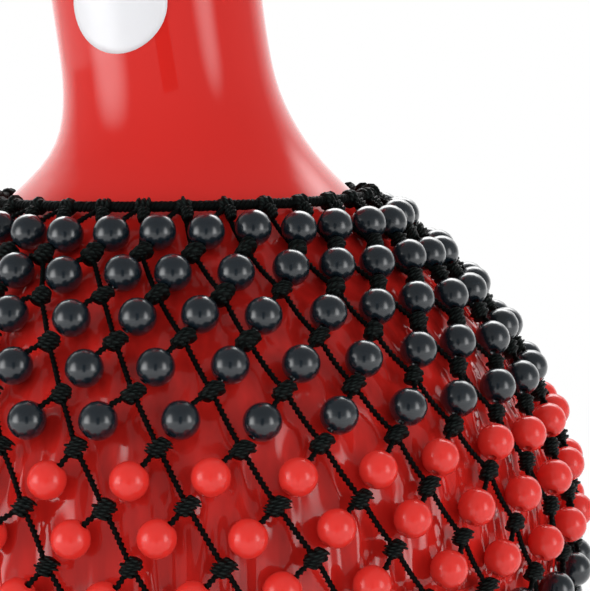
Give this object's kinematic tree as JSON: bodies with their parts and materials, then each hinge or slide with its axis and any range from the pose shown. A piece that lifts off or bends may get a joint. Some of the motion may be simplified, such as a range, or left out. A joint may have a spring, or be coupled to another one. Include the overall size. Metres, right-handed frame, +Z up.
{
  "type": "shekere",
  "caption": "Hollow gourd-shaped rattle with an open leaning neck, wrapped in a knotted cord net of round beads that turns about the shell.",
  "frame": {"origin": "middle of the flat foot that the shekere stands on", "axes": "+Z up along the bowl's axis to the mouth; -Y is the side of the neck badge, and the neck leans toward -X"},
  "size_m": [0.2554, 0.2554, 0.308],
  "materials": {
    "red_shell": "glossy red gel coat on moulded glass fibre",
    "laminate": "bare resin laminate",
    "white_badge": "smooth white",
    "black_cord": "twisted black cord",
    "black_bead": "polished black",
    "red_bead": "polished red"
  },
  "bodies": {
    "shell": {"shell_lower": "red_shell", "shell_upper": "red_shell", "seam_band": "laminate", "neck_badge": "white_badge"},
    "net": {"collar_cord": "black_cord", "collar_hitches": "black_cord", "base_cord": "black_cord", "base_hitches": "black_cord", "bead_row_01": "black_bead", "knot_row_01": "black_cord", "bead_row_02": "black_bead", "knot_row_02": "black_cord", "bead_row_03": "black_bead", "knot_row_03": "black_cord", "bead_row_04": "black_bead", "knot_row_04": "black_cord", "bead_row_05": "black_bead", "knot_row_05": "black_cord", "bead_row_06": "red_bead", "knot_row_06": "black_cord", "bead_row_07": "red_bead", "knot_row_07": "black_cord", "bead_row_08": "red_bead", "knot_row_08": "black_cord", "bead_row_09": "black_bead", "knot_row_09": "black_cord", "bead_row_10": "black_bead", "knot_row_10": "black_cord", "bead_row_11": "black_bead", "knot_row_11": "black_cord", "bead_row_12": "black_bead", "knot_row_12": "black_cord", "bead_row_13": "black_bead", "knot_row_13": "black_cord", "bead_row_14": "black_bead", "knot_row_14": "black_cord", "bead_row_15": "black_bead", "knot_row_15": "black_cord", "cord_row_01": "black_cord", "cord_row_02": "black_cord", "cord_row_03": "black_cord", "cord_row_04": "black_cord", "cord_row_05": "black_cord", "cord_row_06": "black_cord", "cord_row_07": "black_cord", "cord_row_08": "black_cord", "cord_row_09": "black_cord", "cord_row_10": "black_cord", "cord_row_11": "black_cord", "cord_row_12": "black_cord", "cord_row_13": "black_cord", "cord_row_14": "black_cord", "cord_row_15": "black_cord", "cord_row_16": "black_cord"}
  },
  "joints": [
    {"name": "net_twist", "type": "hinge", "parent": "shell", "child": "net", "pos_m": [0, 0, 0.098], "axis": [0, 0, 1], "continuous": true}
  ]
}
